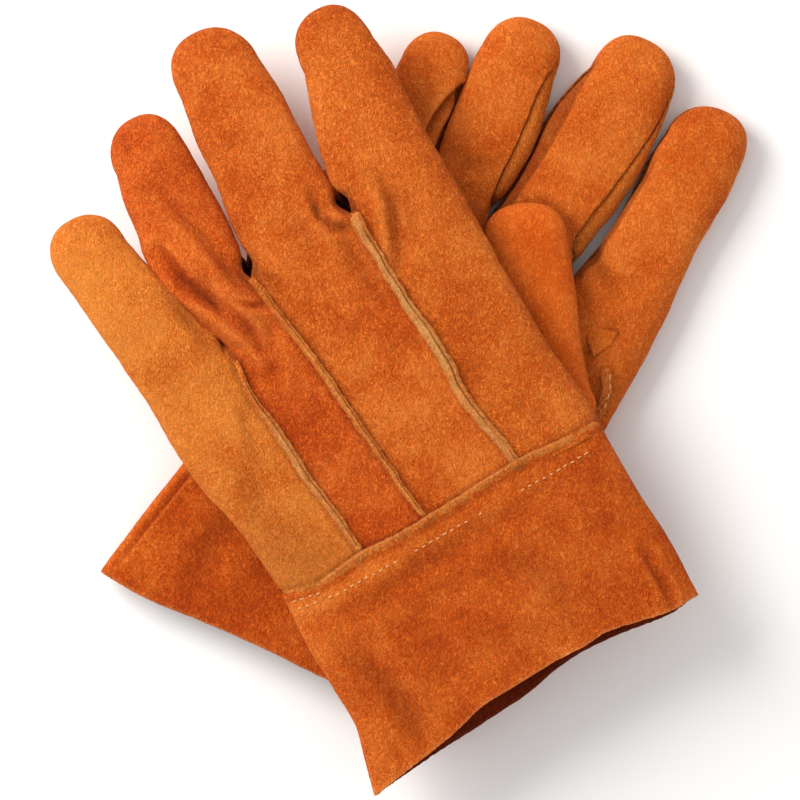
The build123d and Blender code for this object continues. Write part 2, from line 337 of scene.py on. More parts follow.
class Hand:
    """Places a glove's hand-frame millimetres in the shared frame."""

    def __init__(self, glove):
        self.glove = glove
        side = glove.side
        mounts = {mount["name"]: mount for mount in frame["record"]["mounts"]}
        self.along = -Vector(mounts[f"{side}_hand_opening"]["axis"]).normalized()
        self.across = Vector((self.along.y, -self.along.x, 0))
        low, high = (Vector(corner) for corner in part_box(f"{side}_cuff_edge"))
        x, y = CUFF_EDGE_MIDDLE
        self.origin = (low + high) / 2 - (self.across * x + self.along * y) * MM
        floor_nodes = ("left_palm",) if side == "left" else ("right_back_panel_middle",)
        self.origin.z = min(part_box(node)[0][2] for node in floor_nodes)
        self.joints = {joint["name"]: joint for joint in frame["joints"]}

    def place(self, x, y, z):
        spot = self.origin + (self.across * x + self.along * y) * MM
        spot.z += z * MM
        return spot

    def hinge(self, name):
        """Hinge point and the level direction across it, away from the cuff."""
        joint = self.joints[name]
        axis = Vector(joint["axis"])
        return Vector(joint["pos_m"]), Vector((-axis.y, axis.x, 0)).normalized()


# Folds of the leather on each finger: a path of (X, Y) points down the fold, its width and
# depth, and how much the leather rolls up on its left and right side
FOLDS = {
    ("left", "ring"): [
        ([(-46.5, 136), (-44, 121), (-39.5, 112), (-34.5, 102), (-31, 93), (-30, 85)], 2.6, 4.0, 0.75, 0.8),
        ([(-37, 158), (-34, 146), (-30, 133), (-27.5, 121), (-25, 110), (-22, 102)], 2.8, 2.0, 0.9, 0.3),
        ([(-32, 107), (-27, 101.5), (-20.5, 98)], 1.5, 1.9, 0.4, 0.6),
        ([(-24, 93), (-27, 83), (-31, 74)], 3.2, 1.3, 0.5, 0.5),
    ],
    ("left", "middle"): [
        ([(13, 128), (12, 118), (14, 112.5), (20, 108.5)], 2.2, 3.2, 0.3, 0.6),
        ([(17, 109), (15.5, 97), (17, 82)], 4.6, 1.5, 0.3, 0.0),
        ([(-2, 128), (3, 117), (4, 104)], 5.0, 1.0, 0.4, 0.2),
        ([(-17, 116), (-15, 106), (-12, 99)], 3.0, 1.4, 0.2, 0.5),
    ],
    ("left", "index"): [
        ([(38, 124), (38, 111), (33.5, 99), (29, 88)], 2.8, 2.1, 1.0, 0.3),
        ([(45, 116), (41, 103), (36, 92)], 3.6, 1.0, 0.2, 0.6),
    ],
    ("left", "little"): [
        ([(-64, 28), (-58, 42), (-52, 52)], 6.0, 1.2, 0.3, 0.3),
        ([(-51, 120), (-48, 106), (-46, 94)], 3.4, 1.3, 0.6, 0.0),
        ([(-44, 72), (-49, 64), (-52, 52)], 3.4, 1.1, 0.3, 0.5),
    ],
    ("right", "middle"): [([(1, 121), (10, 125.5), (21, 124), (27, 120)], 3.4, 2.0, 0.6, 0.4)],
    ("right", "index"): [
        ([(33, 120), (41, 113), (50, 109)], 3.6, 1.8, 0.5, 0.4),
        ([(56, 100), (50, 90), (46, 76)], 4.2, 1.3, 0.4, 0.2),
    ],
    ("right", "ring"): [([(-30, 132), (-22, 128), (-12, 131)], 4.0, 1.2, 0.4, 0.3)],
    ("right", "little"): [([(-36.2, 153), (-38.3, 147), (-39.8, 139), (-39.8, 128)], 1.7, 3.6, 0.5, 0.2)],
}


def fold_height(path, width, depth, left_roll, right_roll, x, y):
    """A groove along the path with a soft roll on each side, fading at both ends."""
    best = None
    count = len(path) - 1
    for number in range(count):
        (x0, y0), (x1, y1) = path[number], path[number + 1]
        dx, dy = x1 - x0, y1 - y0
        length = math.hypot(dx, dy)
        t = min(max(((x - x0) * dx + (y - y0) * dy) / length**2, 0.0), 1.0)
        gap = math.hypot(x - x0 - t * dx, y - y0 - t * dy)
        if best is None or gap < best[0]:
            turn = math.copysign(1.0, dx * (y - y0) - dy * (x - x0))
            best = (gap, turn * gap, (number + t) / count)
    gap, signed, progress = best
    if gap > 4 * width:
        return 0.0
    fade = max(0.0, math.sin(math.pi * (0.06 + 0.88 * progress))) ** 0.7
    height = left_roll * bump(signed + 1.7 * width, width)
    height += right_roll * bump(signed - 1.7 * width, width)
    return depth * fade * (height - bump(signed, width * 0.85))


def hide_ripple(spot, amount):
    """Slow unevenness of a hide at a spot in millimetres."""
    slow = noise.noise(spot / 26) + 0.35 * noise.noise(spot / 9)
    fine = 0.16 * noise.noise(spot / 2.6) + 0.09 * noise.noise(spot / 1.1)
    return amount * (slow + fine)


# ------------------------------------------------------------------------------------------
# Mesh making


def finish_object(name, bm, material, wall=None, inside=None):
    """Turns the bmesh into an object at the origin with smooth faces and sharp raw edges. A
    sheet gets a wall on its inner side, in the inside material."""
    for face in bm.faces:
        face.smooth = True
    mesh = bpy.data.meshes.new(name)
    bm.to_mesh(mesh)
    bm.free()
    obj = bpy.data.objects.new(name, mesh)
    bpy.context.scene.collection.objects.link(obj)
    mesh.materials.append(material)
    if wall:
        mesh.materials.append(inside or material)
        solid = obj.modifiers.new("wall", "SOLIDIFY")
        solid.thickness = wall
        solid.offset = -1
        solid.material_offset = 1
        solid.material_offset_rim = 0
        graph = bpy.context.evaluated_depsgraph_get()
        solid_mesh = bpy.data.meshes.new_from_object(obj.evaluated_get(graph))
        obj.modifiers.clear()
        obj.data = solid_mesh
        bpy.data.meshes.remove(mesh)
        solid_mesh.name = name
        mesh = solid_mesh
    mesh.set_sharp_from_angle(angle=math.radians(62))
    return obj


def placed_grid(rows, columns, place):
    """A grid whose point (row, v) is put where place says, v running from -1 to 1.
    place gives a spot and the values of the raw-edge and shade attributes."""
    bm = bmesh.new()
    bmesh.ops.create_grid(bm, x_segments=columns, y_segments=rows, size=1.0)
    edge_layer = bm.verts.layers.float.new("raw_edge")
    shade_layer = bm.verts.layers.float.new("shade")
    for vert in bm.verts:
        row = round((vert.co.y + 1) / 2 * rows)
        spot, raw, shade = place(row, vert.co.x)
        vert.co = spot
        vert[edge_layer] = raw
        vert[shade_layer] = shade
    return bm


def sheet_mesh(rows, columns, place, up=True):
    """An open sheet of leather, whose faces look up or down."""
    bm = placed_grid(rows, columns, place)
    bmesh.ops.remove_doubles(bm, verts=bm.verts, dist=0.01 * MM)
    bm.normal_update()
    faces_up = sum(face.normal.z * face.calc_area() for face in bm.faces) > 0
    if faces_up != up:
        bmesh.ops.reverse_faces(bm, faces=bm.faces)
    return bm


def tube_mesh(rows, around, place):
    """A closed tube whose point (row, angle) is put where place says, with shut ends."""
    bm = placed_grid(rows, around, lambda row, v: place(row, (v + 1) * math.pi))
    bmesh.ops.remove_doubles(bm, verts=bm.verts, dist=0.02 * MM)
    bmesh.ops.holes_fill(bm, edges=[edge for edge in bm.edges if edge.is_boundary])
    bmesh.ops.recalc_face_normals(bm, faces=bm.faces)
    return bm


class Panel:
    """One lengthwise strip of a hand and its finger, as an upper and a lower layer."""

    def __init__(self, hand, name, sizes):
        glove = hand.glove
        number = FINGERS.index(name)
        self.hand, self.name, self.glove = hand, name, glove
        self.finger = glove.fingers[name]
        self.left = glove.borders[number] + self.finger.left
        self.right = glove.borders[number + 1] + self.finger.right
        self.crotch_left = glove.crotches[number - 1] if number > 0 else None
        self.crotch_right = glove.crotches[number] if number < 3 else None
        self.seam_left = glove.seam_tops[number - 1] if number > 0 else None
        self.seam_right = glove.seam_tops[number] if number < 3 else None
        self.top = min(self.left[-1][0], self.right[-1][0])
        step = sizes.row_step / MM
        self.levels = []
        level = 0.0
        while level < self.top - step / 2:
            self.levels.append((level, 0.0))
            level += step
        reach = self.finger.tip[1] - self.top
        turns = max(10, round(reach * 1.4 / step))
        for turn in range(turns + 1):
            self.levels.append((self.top, turn / turns * math.pi / 2))
        self.ripple = sizes.ripple / MM
        inner = [crotch for crotch in (self.crotch_left, self.crotch_right) if crotch]
        self.knuckle = min(max(inner), KNUCKLE_LIMIT)
        self.pit_left = glove.pits.get(number - 1)
        self.pit_right = glove.pits.get(number)
        self.folds = FOLDS.get((glove.side, name), [])

    def turned(self, seam_top, y):
        """How far a side has turned from flat panel to finger side."""
        if seam_top is None:
            return 1.0
        return ease(seam_top - 1.0, seam_top + CROTCH_LENGTH, y)

    def pressed(self, seam_top, crotch, y):
        """How hard a side is pressed against its neighbour, between the seam and the crotch."""
        if crotch is None or crotch < seam_top + 8:
            return 0.0
        return ease(seam_top - 2, seam_top + 3, y) - ease(crotch - 8, crotch + 8, y)

    def middle_height(self, y):
        """Height of the middle of the thickness, which falls beyond the knuckles."""
        past = max(0.0, y - self.knuckle)
        bend = past * past / (past + 14.0)
        return HALF_THICKNESS - bend * math.tan(math.radians(self.finger.droop))

    def spot(self, row, v, upper):
        y0, tip_angle = self.levels[row]
        tip_x, tip_y = self.finger.tip
        left, right = smooth_line(self.left, y0), smooth_line(self.right, y0)
        y = y0 + (tip_y - self.top) * math.sin(tip_angle)
        pit_depth = 0.0
        if self.pit_left:
            depth = bump(y - self.pit_left[0], self.pit_left[2])
            left += self.pit_left[1] * depth if upper else -1.3 * bump(y - self.pit_left[0], 6.0)
            pit_depth += depth * (v < 0)
        if self.pit_right:
            depth = bump(y - self.pit_right[0], self.pit_right[2])
            right -= self.pit_right[1] * depth if upper else -1.3 * bump(y - self.pit_right[0], 6.0)
            pit_depth += depth * (v > 0)
        centre, half = (left + right) / 2, (right - left) / 2
        centre += (tip_x - centre) * math.sin(tip_angle) ** 2
        shrink = tip_shrink(tip_angle)
        half *= shrink
        height = HALF_THICKNESS * max(0.0, 1 - math.sin(tip_angle) ** 2.6) ** (1 / 2.2)

        crotch = self.crotch_left if v < 0 else self.crotch_right
        seam_top = self.seam_left if v < 0 else self.seam_right
        turned = self.turned(seam_top, y)
        pressed = self.pressed(seam_top, crotch, y)
        wraps = self.finger.wrap_left if v < 0 else self.finger.wrap_right
        wrap = smooth_line(wraps, y) if len(wraps) > 1 else wraps[0][1]
        if not upper:
            wrap = 180 - wrap
        angle = math.radians(wrap) * v
        round_x, round_z = rounded_section(angle, SECTION_POWER + PRESSED_POWER * pressed)
        across = (1 - turned) * v + turned * round_x
        rise = 1 - turned + turned * round_z
        out_x, out_z = turned * math.sin(angle), 1 - turned + turned * math.cos(angle)

        x = centre + (half + 0.7 * pressed) * across
        edge_gap = (1 - abs(v)) * max(half, 1.0) * (1 + 0.35 * turned)
        lift, raw, shade = self.relief(x, y, edge_gap, turned, pressed, seam_top, upper)
        # Painted shade in the crotch pit, on both layers.
        if pit_depth:
            dark = bump(edge_gap, 2.0) if upper else 1.4 * bump(edge_gap, 7.0)
            shade = min(1.0, shade + pit_depth * dark)
        fade = shrink ** 0.6
        x += lift * out_x * fade
        z_sign = 1 if upper else -1
        z = self.middle_height(y) + z_sign * (height * rise + lift * out_z * fade)
        z = self.settle(z)
        return self.hand.place(x, y, z), raw, shade

    def settle(self, z):
        """A glove that lies on the floor is flattened against it."""
        if self.glove.side == "right" and z < FLOOR_GAP:
            return FLOOR_GAP - 0.25 * (1 - math.exp(-(FLOOR_GAP - z) / 0.8))
        return z

    def relief(self, x, y, edge_gap, turned, pressed, seam_top, upper):
        """Height of the leather over the plain form, with its raw-edge and shade values."""
        spot = Vector((x, y, 40.0 if upper else 90.0)) + Vector((0, 0, 200 * (self.glove.side == "left")))
        lift = hide_ripple(spot, self.ripple)
        shade = 0.0
        if upper:
            for fold in self.folds:
                height = fold_height(*fold, x, y)
                lift += height
                # Painted shade in each fold's groove and painted highlight on its rolls.
                shade += max(0.0, -height / 4.2) - max(0.0, height / 4.5)
            # Dull stains, with painted highlights (negative depth) and painted shade among them.
            for stain_x, stain_y, wide, long, depth in self.finger.stains_and_shading:
                shade += depth * bump(x - stain_x, wide) * bump(y - stain_y, long)
            # Sides that fall away are lowered and darkened with painted shade.
            for line, depth in self.finger.shaded_sides:
                inward = (x - smooth_line(line, y)) * (1 if depth > 0 else -1)
                fade = ease(line[0][0] - 3, line[0][0] + 4, y) * (1 - ease(line[-1][0] - 18, line[-1][0], y))
                dark = (1 - ease(-0.8, 1.5, inward)) * fade
                shade += 0.8 * dark
                lift -= abs(depth) * dark
            # Painted shadow in a thin line on the hand beside the cuff's raised edge.
            shade += 0.5 * bump(y - smooth_line(CUFF_EDGE_LINE, x) - 1.7, 0.8)
        back = upper == (self.glove.side == "left")
        flat = 1 - turned
        if back and seam_top is not None:
            lift += flat * (0.5 * bump(edge_gap, 1.4) - 0.7 * bump(edge_gap - 4.8, 2.8))
            # Painted shade beside the outseam.
            shade += 0.5 * flat * bump(edge_gap - 1.6, 1.1)
        pucker = 0.25 * math.sin(y * 1.7 + 3 * noise.noise(Vector((x / 30, y / 9, 3))))
        rim = turned * (1 - 0.7 * pressed)
        lift -= rim * (0.95 + pucker) * bump(edge_gap, 0.9)
        # Painted shade along a finger's rounded sides and where a side is pressed against its neighbour.
        shade += 0.9 * rim * bump(edge_gap, 0.7)
        shade += 0.75 * pressed * bump(edge_gap, 0.9)
        # Painted shade in the crotch between two fingers.
        if seam_top is not None:
            shade += 0.6 * bump(y - (seam_top + 6.0), 9.0) * bump(edge_gap, 4.0) * (1 - 0.6 * pressed)
        return lift, 0.0, max(-0.6, min(shade, 1.0))

    def build(self, upper, columns, material, wall):
        rows = len(self.levels) - 1
        bm = sheet_mesh(rows, columns, lambda row, v: self.spot(row, v, upper), up=upper)
        layer = "upper" if upper else "under"
        inside = Workshop.finishes.inside()
        return finish_object(f"{self.glove.side}_{self.name}_{layer}_leather", bm, material, wall, inside)


# ------------------------------------------------------------------------------------------
# Materials


def group_socket(group, name, kind, default=None, way="INPUT"):
    socket = group.interface.new_socket(name=name, in_out=way, socket_type=kind)
    if default is not None:
        socket.default_value = default
    return socket


def link(tree, source, target):
    tree.links.new(source, target)


def maths(tree, operation, first, second=None, third=None):
    """One Math node; a number is set on its socket and an output is linked to it."""
    node = tree.nodes.new("ShaderNodeMath")
    node.operation = operation
    for index, value in enumerate((first, second, third)):
        if value is None:
            continue
        if isinstance(value, (int, float)):
            node.inputs[index].default_value = value
        else:
            link(tree, value, node.inputs[index])
    return node.outputs[0]


def noise_node(tree, vector, scale, detail, roughness, distortion=0.0):
    node = tree.nodes.new("ShaderNodeTexNoise")
    link(tree, vector, node.inputs["Vector"])
    node.inputs["Scale"].default_value = scale
    node.inputs["Detail"].default_value = detail
    node.inputs["Roughness"].default_value = roughness
    node.inputs["Distortion"].default_value = distortion
    return node.outputs["Fac"]


def mapped(tree, vector, location=(0, 0, 0), turn=0.0, scale=(1, 1, 1)):
    node = tree.nodes.new("ShaderNodeMapping")
    link(tree, vector, node.inputs["Vector"])
    node.inputs["Location"].default_value = location
    node.inputs["Rotation"].default_value = (0, 0, turn)
    node.inputs["Scale"].default_value = scale
    return node.outputs[0]


def colour_mix(tree, factor, first, second, blend="MIX"):
    node = tree.nodes.new("ShaderNodeMix")
    node.data_type = "RGBA"
    node.blend_type = blend
    if isinstance(factor, (int, float)):
        node.inputs[0].default_value = factor
    else:
        link(tree, factor, node.inputs[0])
    for socket, value in ((node.inputs[6], first), (node.inputs[7], second)):
        if isinstance(value, (tuple, list)):
            socket.default_value = (*value[:3], 1)
        else:
            link(tree, value, socket)
    return node.outputs[2]


def curl_lines(tree, vector, scale, distortion, sharpness):
    """Thin winding lines, like the loose fibres of a nap: 1 on a line and 0 between them."""
    wave = noise_node(tree, vector, scale, 1.0, 0.5, distortion)
    away = maths(tree, "ABSOLUTE", maths(tree, "SUBTRACT", wave, 0.5))
    line = maths(tree, "MULTIPLY_ADD", away, -sharpness, 1.0)
    return maths(tree, "MAXIMUM", line, 0.0)


def suede_group():
    """Node group: nap, streaks and mottling of split suede, worn edges, dull stains, painted shade in
    creases and hollows, and painted highlights.
    """
    tree = bpy.data.node_groups.new("split_suede", "ShaderNodeTree")
    for name, default in (
        ("Deep", (0.4, 0.06, 0.01, 1)), ("Body", (0.6, 0.12, 0.02, 1)),
        ("Bright", (0.8, 0.2, 0.04, 1)), ("Raw", (0.7, 0.3, 0.1, 1)),
    ):
        group_socket(tree, name, "NodeSocketColor", default)
    group_socket(tree, "Shift", "NodeSocketVector", (0.0, 0.0, 0.0))
    group_socket(tree, "Tone", "NodeSocketFloat", 0.0)
    group_socket(tree, "Mottle", "NodeSocketFloat", 1.0)
    group_socket(tree, "Nap", "NodeSocketFloat", 1.0)
    group_socket(tree, "Colour", "NodeSocketColor", way="OUTPUT")
    group_socket(tree, "Roughness", "NodeSocketFloat", way="OUTPUT")
    group_socket(tree, "Height", "NodeSocketFloat", way="OUTPUT")
    inputs = tree.nodes.new("NodeGroupInput").outputs
    output = tree.nodes.new("NodeGroupOutput")

    place = tree.nodes.new("ShaderNodeTexCoord").outputs["Object"]
    moved = tree.nodes.new("ShaderNodeVectorMath")
    moved.operation = "ADD"
    link(tree, place, moved.inputs[0])
    link(tree, inputs["Shift"], moved.inputs[1])
    place = moved.outputs[0]

    patches = noise_node(tree, place, 34, 3, 0.55, 0.4)
    clouds = noise_node(tree, place, 110, 4, 0.6, 0.6)
    tufts = noise_node(tree, place, 380, 3, 0.6, 0.8)
    pile = noise_node(tree, place, 1500, 4, 0.75, 1.2)
    curls = curl_lines(tree, mapped(tree, place, turn=0.6, scale=(1.0, 0.6, 0.8)), 720, 1.8, 8.0)
    hairs = curl_lines(tree, mapped(tree, place, turn=2.2, scale=(1.0, 0.6, 0.8)), 1150, 1.5, 7.0)

    broad = maths(tree, "MULTIPLY_ADD", maths(tree, "SUBTRACT", patches, 0.5), 1.3, 0.5)
    broad = maths(tree, "MULTIPLY_ADD", maths(tree, "SUBTRACT", clouds, 0.5), 0.42, broad)
    broad = maths(tree, "MULTIPLY_ADD", maths(tree, "SUBTRACT", tufts, 0.5), 0.5, broad)
    broad = maths(tree, "MULTIPLY_ADD", maths(tree, "SUBTRACT", broad, 0.5), inputs["Mottle"], 0.5)
    broad = maths(tree, "ADD", broad, inputs["Tone"])
    fibres = maths(tree, "MULTIPLY_ADD", hairs, 0.7, curls)
    small = maths(tree, "MULTIPLY_ADD", maths(tree, "SUBTRACT", pile, 0.5), 1.3, fibres)
    small = maths(tree, "SUBTRACT", small, 0.55)
    small = maths(tree, "MULTIPLY", small, inputs["Nap"])
    value = maths(tree, "MULTIPLY_ADD", small, 0.52, broad)
    shade = tree.nodes.new("ShaderNodeAttribute")
    shade.attribute_name = "shade"
    # Negative shade lightens the colour: painted highlights on fold crests and on the little finger's lit
    # side, and a lighter band on the left cuff.
    lightening = maths(tree, "MAXIMUM", maths(tree, "MULTIPLY", shade.outputs["Fac"], -1.0), 0.0)
    value = maths(tree, "MULTIPLY_ADD", lightening, 0.7, value)
    clamp = tree.nodes.new("ShaderNodeClamp")
    link(tree, value, clamp.inputs[0])
    value = clamp.outputs[0]

    low_half = maths(tree, "MULTIPLY", value, 2.0)
    high_half = maths(tree, "MULTIPLY_ADD", value, 2.0, -1.0)
    lower = colour_mix(tree, low_half, inputs["Deep"], inputs["Body"])
    colour = colour_mix(tree, high_half, lower, inputs["Bright"])
    for node in tree.nodes:
        if node.type == "MIX" and node.data_type == "RGBA":
            node.clamp_factor = True

    raw = tree.nodes.new("ShaderNodeAttribute")
    raw.attribute_name = "raw_edge"
    raw_mask = maths(tree, "MULTIPLY_ADD", small, 0.3, raw.outputs["Fac"])
    raw_mask = maths(tree, "MULTIPLY", raw_mask, maths(tree, "GREATER_THAN", raw.outputs["Fac"], 0.01))
    colour = colour_mix(tree, raw_mask, colour, inputs["Raw"])
    # Positive shade darkens the colour: painted shade in creases, seams, crotches and along rounded sides,
    # and dull stains.
    darker = colour_mix(tree, 1.0, colour, (0.22, 0.12, 0.10), blend="MULTIPLY")
    shade_and_stains = maths(tree, "MAXIMUM", maths(tree, "MULTIPLY", shade.outputs["Fac"], 0.72), 0.0)
    colour = colour_mix(tree, shade_and_stains, colour, darker)
    link(tree, colour, output.inputs["Colour"])

    rough = maths(tree, "MULTIPLY_ADD", maths(tree, "SUBTRACT", fibres, 0.5), -0.1, 0.9)
    link(tree, rough, output.inputs["Roughness"])
    height = maths(tree, "MULTIPLY", small, 0.00042)
    height = maths(tree, "MULTIPLY_ADD", maths(tree, "SUBTRACT", tufts, 0.5), 0.0008, height)
    link(tree, height, output.inputs["Height"])
    return tree


class Finishes:
    """Makes the suede and thread materials once and hands them out by name."""

    def __init__(self, colours):
        self.colours = colours
        self.group = suede_group()
        self.made = {}

    def suede(self, name, tone=0.0, mottle=1.0, nap=1.0, shift=0.0, warm=1.0, dim=1.0):
        if name in self.made:
            return self.made[name]
        material = bpy.data.materials.new(name)
        material.use_nodes = True
        tree = material.node_tree
        shader = tree.nodes["Principled BSDF"]
        group = tree.nodes.new("ShaderNodeGroup")
        group.node_tree = self.group
        for socket, colour in (
            ("Deep", self.colours.deep), ("Body", self.colours.body),
            ("Bright", self.colours.bright), ("Raw", self.colours.raw_edge),
        ):
            red, green, blue = colour
            tinted = (red * dim, green * warm * dim, blue * warm * dim, 1)
            group.inputs[socket].default_value = tinted
        group.inputs["Shift"].default_value = (shift, shift * 0.7, shift * 0.3)
        group.inputs["Tone"].default_value = tone
        group.inputs["Mottle"].default_value = mottle
        group.inputs["Nap"].default_value = nap
        link(tree, group.outputs["Colour"], shader.inputs["Base Color"])
        link(tree, group.outputs["Roughness"], shader.inputs["Roughness"])
        relief = tree.nodes.new("ShaderNodeBump")
        relief.inputs["Strength"].default_value = 1.0
        relief.inputs["Distance"].default_value = 1.0
        link(tree, group.outputs["Height"], relief.inputs["Height"])
        link(tree, relief.outputs["Normal"], shader.inputs["Normal"])
        shader.inputs["Specular IOR Level"].default_value = 0.12
        shader.inputs["Sheen Weight"].default_value = 0.09
        shader.inputs["Sheen Roughness"].default_value = 0.45
        shader.inputs["Sheen Tint"].default_value = (1.0, 0.5, 0.2, 1)
        self.made[name] = material
        return material

    def inside(self):
        """The suede inside a glove, which sees little light: painted shade dims its colour."""
        return self.suede("inner_suede", -0.4, 0.8, 0.8, shift=9.9, warm=0.5, dim=0.35)

    def cotton(self, name):
        if name in self.made:
            return self.made[name]
        material = bpy.data.materials.new(name)
        material.use_nodes = True
        tree = material.node_tree
        shader = tree.nodes["Principled BSDF"]
        place = tree.nodes.new("ShaderNodeTexCoord").outputs["Object"]
        ply = noise_node(tree, mapped(tree, place, turn=0.5, scale=(1, 0.4, 1)), 3800, 3, 0.6)
        dark = tuple(channel * 0.6 for channel in self.colours.thread)
        colour = colour_mix(tree, ply, dark, tuple(self.colours.thread))
        link(tree, colour, shader.inputs["Base Color"])
        link(tree, maths(tree, "MULTIPLY_ADD", ply, 0.2, 0.7), shader.inputs["Roughness"])
        relief = tree.nodes.new("ShaderNodeBump")
        relief.inputs["Distance"].default_value = 1.0
        link(tree, maths(tree, "MULTIPLY", ply, 0.00012), relief.inputs["Height"])
        link(tree, relief.outputs["Normal"], shader.inputs["Normal"])
        shader.inputs["Sheen Weight"].default_value = 0.1
        self.made[name] = material
        return material


# ------------------------------------------------------------------------------------------
# Shared state of one run


class Workshop:
    """Hands and finishes that the operators share."""

    hands = {}
    finishes = None

    @classmethod
    def open(cls):
        cls.hands = {glove.side: Hand(glove) for glove in (LEFT, RIGHT)}
        cls.finishes = Finishes(bpy.context.scene.glove_colours)


def sizes():
    return bpy.context.scene.glove_sizes


# Tone, mottling and warmth of each cut piece, as they come from different parts of the hide
TONES = {
    "left_little": (0.26, 1.0, 1.08),
    "left_ring": (-0.06, 1.1, 0.82),
    "left_middle": (0.06, 1.2, 0.93),
    "left_index": (0.0, 0.9, 0.97),
    "right_little": (0.02, 0.7, 1.0),
    "right_ring": (0.10, 0.7, 1.05),
    "right_middle": (0.10, 0.8, 1.05),
    "right_index": (0.02, 0.8, 1.0),
}


STRIP_COLUMNS = 52      # faces across one layer of a strip


def panel_body(glove, name):
    """Body and hinge of the part of a finger that moves, or None."""
    if glove.side == "left":
        return f"left_{name}", f"left_{name}_fold"
    if name == "little":
        return None, None
    return f"right_{name}_tip", f"right_{name}_curl"


def fasten(obj, hand, name):
    """Lets a strip of hand and finger that has no moving part follow its hand; any other strip only has its
    placement baked into its mesh.
    """
    body, hinge = panel_body(hand.glove, name)
    root = f"{hand.glove.side}_hand"
    if body is None:
        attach(obj, root)
        return
    spot, along = hand.hinge(hinge)
    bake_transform(obj)


class GLOVES_OT_back_panels(bpy.types.Operator):
    """The four back pieces of each glove, from the cuff to the fingertips"""

    bl_idname = "gloves.back_panels"
    bl_label = "Back panels"

    def execute(self, context):
        for side, hand in Workshop.hands.items():
            upper = side == "left"
            for number, name in enumerate(FINGERS):
                tone, mottle, warm = TONES[f"{side}_{name}"]
                finish = Workshop.finishes.suede(
                    f"{side}_{name}_back_suede", tone, mottle, shift=0.31 * number + 0.1 * upper, warm=warm
                )
                obj = Panel(hand, name, sizes()).build(upper, STRIP_COLUMNS, finish, sizes().leather)
                moving = panel_body(hand.glove, name)[0]
                fasten(obj, hand, name)
                nodes = [f"{side}_back_panel_{name}"]
                if moving:
                    nodes.append(f"{moving}_back")
                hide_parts(*nodes)
        return {"FINISHED"}


class GLOVES_OT_palm_fronts(bpy.types.Operator):
    """The palm piece of each glove, with the fronts of the fingers"""

    bl_idname = "gloves.palm_fronts"
    bl_label = "Palm and finger fronts"

    def execute(self, context):
        for side, hand in Workshop.hands.items():
            upper = side == "right"
            finish = Workshop.finishes.suede(
                f"{side}_palm_suede", 0.09, 0.8, 0.8, shift=1.7 + upper, warm=0.95
            )
            for name in FINGERS:
                obj = Panel(hand, name, sizes()).build(upper, STRIP_COLUMNS, finish, sizes().leather)
                moving = panel_body(hand.glove, name)[0]
                fasten(obj, hand, name)
                nodes = [f"{side}_palm"] if name == "little" else []
                if moving:
                    nodes.append(f"{moving}_front")
                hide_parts(*nodes)
        return {"FINISHED"}


class GLOVES_OT_outseams(bpy.types.Operator):
    """The raised outseams between the back panels"""

    bl_idname = "gloves.outseams"
    bl_label = "Outseams"

    def execute(self, context):
        for side, hand in Workshop.hands.items():
            finish = Workshop.finishes.suede(f"{side}_seam_suede", 0.06, 0.9, 1.0, shift=2.9, warm=1.1)
            for number, pair in enumerate(("ring_little", "middle_ring", "index_middle")):
                obj = outseam(hand, number, pair, finish)
                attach(obj, f"{side}_hand")
                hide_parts(f"{side}_seam_{pair}")
        return {"FINISHED"}


# Each outseam's width, height and paleness along the hand, as (Y, value) points
SEAMS = {
    "ring_little": (
        [(3, 3.0), (20, 3.7), (45, 4.3), (60, 4.1), (70, 3.0), (80, 2.2), (88, 1.6)],
        [(3, 0.9), (40, 1.1), (70, 1.15), (88, 0.9)],
        [(3, 0.25), (30, 0.4), (50, 0.5), (62, 0.3), (72, 0.08), (88, 0.02)],
    ),
    "middle_ring": (
        [(0, 2.5), (30, 2.8), (60, 3.0), (85, 2.9), (100, 3.1), (111, 3.4)],
        [(0, 0.9), (40, 1.1), (100, 1.15), (111, 0.9)],
        [(0, 0.12), (40, 0.22), (70, 0.2), (100, 0.1), (111, 0.05)],
    ),
    "index_middle": (
        [(4, 4.0), (20, 4.8), (40, 5.3), (62, 5.3), (80, 4.3), (100, 4.5), (110, 5.2), (114, 4.8)],
        [(4, 0.95), (60, 1.1), (100, 1.2), (114, 1.05)],
        [(4, 0.4), (40, 0.5), (62, 0.75), (90, 0.6), (114, 0.35)],
    ),
}

TOP_SHARE = 0.12        # of the way round a seam that its flat underside takes on each side
SEAM_START = 2.2        # Y of the foot of an outseam, at the cuff's raw edge
SEAM_ROW_STEP = 0.7
SEAM_SUNK = 2.2         # from the back of the hand down to an outseam's hidden underside
PRESSED_HEIGHT = 0.5    # of an outseam that the glove lies on
PRESSED_BASE = 1.1


